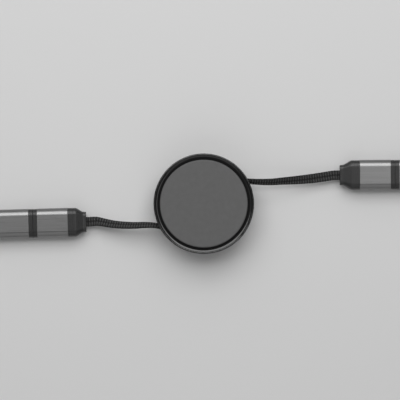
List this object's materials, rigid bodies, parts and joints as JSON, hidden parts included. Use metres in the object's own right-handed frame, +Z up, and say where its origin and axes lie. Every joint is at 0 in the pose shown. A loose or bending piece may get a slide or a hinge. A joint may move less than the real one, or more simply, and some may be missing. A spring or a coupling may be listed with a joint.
{
  "type": "retractable charging cable",
  "caption": "Round sprung reel with one flat braided cable leaving both sides, each end a metal-sleeved plug with a pull-off adapter.",
  "frame": {"origin": "centre of the reel's lower face, where it rests", "axes": "+Z up along the reel's axis, +X towards the right-hand plug, the two cable ends leave along +X and -X"},
  "size_m": [0.2209, 0.045, 0.014],
  "materials": {
    "face_plate": "matte dark grey anodised sheet with a softened edge",
    "bonding_film": "thin double-sided adhesive film",
    "housing_plastic": "black moulded plastic, satin gloss",
    "spool_plastic": "plain acetal plastic",
    "spring_steel": "bright spring steel",
    "braid": "flat black textile braid with a grey fleck",
    "cable_jacket": "black jacket and cores",
    "plug_plastic": "charcoal moulded plastic, satin",
    "sleeve_metal": "grey anodised tube, satin with a soft shine along its edges",
    "connector_steel": "nickel-plated sheet steel",
    "insulator": "black moulded insulator",
    "circuit_board": "green circuit board",
    "contact_gold": "gold-plated spring contacts"
  },
  "bodies": {
    "housing": {"lower_shell": "housing_plastic", "upper_shell": "housing_plastic", "bottom_face_plate": "face_plate", "top_face_plate": "face_plate", "bottom_bonding_film": "bonding_film", "top_bonding_film": "bonding_film", "housing_screw": "spring_steel", "main_spring": "spring_steel", "pawl_pin": "spring_steel", "pawl_spring": "spring_steel", "left_cable": "braid", "right_cable": "braid"},
    "spool": {"spool_drum": "spool_plastic", "spool_flange": "spool_plastic", "cable_winding": "braid"},
    "pawl": {"latch_pawl": "spring_steel"},
    "left_end": {"left_end_cap": "plug_plastic", "left_sleeve": "sleeve_metal", "left_collar": "plug_plastic", "left_cable_tail": "cable_jacket", "left_cable_clamp": "connector_steel", "left_plug_board": "circuit_board", "left_oval_shell": "connector_steel", "left_oval_insulator": "insulator"},
    "right_end": {"right_end_cap": "plug_plastic", "right_sleeve": "sleeve_metal", "right_collar": "plug_plastic", "right_cable_tail": "cable_jacket", "right_cable_clamp": "connector_steel", "right_plug_board": "circuit_board", "right_oval_shell": "connector_steel", "right_oval_insulator": "insulator"},
    "left_adapter": {"left_adapter_collar": "plug_plastic", "left_adapter_sleeve": "sleeve_metal", "left_adapter_nose": "plug_plastic", "left_socket_shell": "connector_steel", "left_socket_tongue": "insulator", "left_adapter_board": "circuit_board", "flat_plug_shell": "connector_steel", "flat_plug_insulator": "insulator", "flat_plug_contacts": "contact_gold"},
    "right_adapter": {"right_adapter_collar": "plug_plastic", "right_adapter_sleeve": "sleeve_metal", "right_adapter_nose": "plug_plastic", "right_socket_shell": "connector_steel", "right_socket_tongue": "insulator", "right_adapter_board": "circuit_board", "small_plug_shell": "connector_steel", "small_plug_insulator": "insulator", "small_plug_contacts": "contact_gold"}
  },
  "joints": [
    {"name": "spool_turn", "type": "hinge", "parent": "housing", "child": "spool", "pos_m": [0, 0, 0], "axis": [0, 0, -1], "range_deg": [-120, 1320], "deforming": ["main_spring"]},
    {"name": "left_pull", "type": "slide", "parent": "housing", "child": "left_end", "axis": [-0.9996, -0.0279, 0], "range_m": [-0.0276, 0.303], "deforming": ["left_cable"]},
    {"name": "right_pull", "type": "slide", "parent": "housing", "child": "right_end", "axis": [1, 0.007, 0], "range_m": [-0.0276, 0.303], "deforming": ["right_cable"]},
    {"name": "left_adapter_pull", "type": "slide", "parent": "left_end", "child": "left_adapter", "axis": [-0.9996, -0.0279, 0], "range_m": [0, 0.015]},
    {"name": "right_adapter_pull", "type": "slide", "parent": "right_end", "child": "right_adapter", "axis": [1, 0.007, 0], "range_m": [0, 0.015]},
    {"name": "pawl_swing", "type": "hinge", "parent": "housing", "child": "pawl", "pos_m": [-0.01241, 0.01478, 0.004], "axis": [0, 0, -1], "range_deg": [0, 10]}
  ],
  "couplings": [
    {"joint": "left_pull", "follows": "spool_turn", "m_per_rad": 0.01315},
    {"joint": "right_pull", "follows": "spool_turn", "m_per_rad": 0.01315}
  ]
}
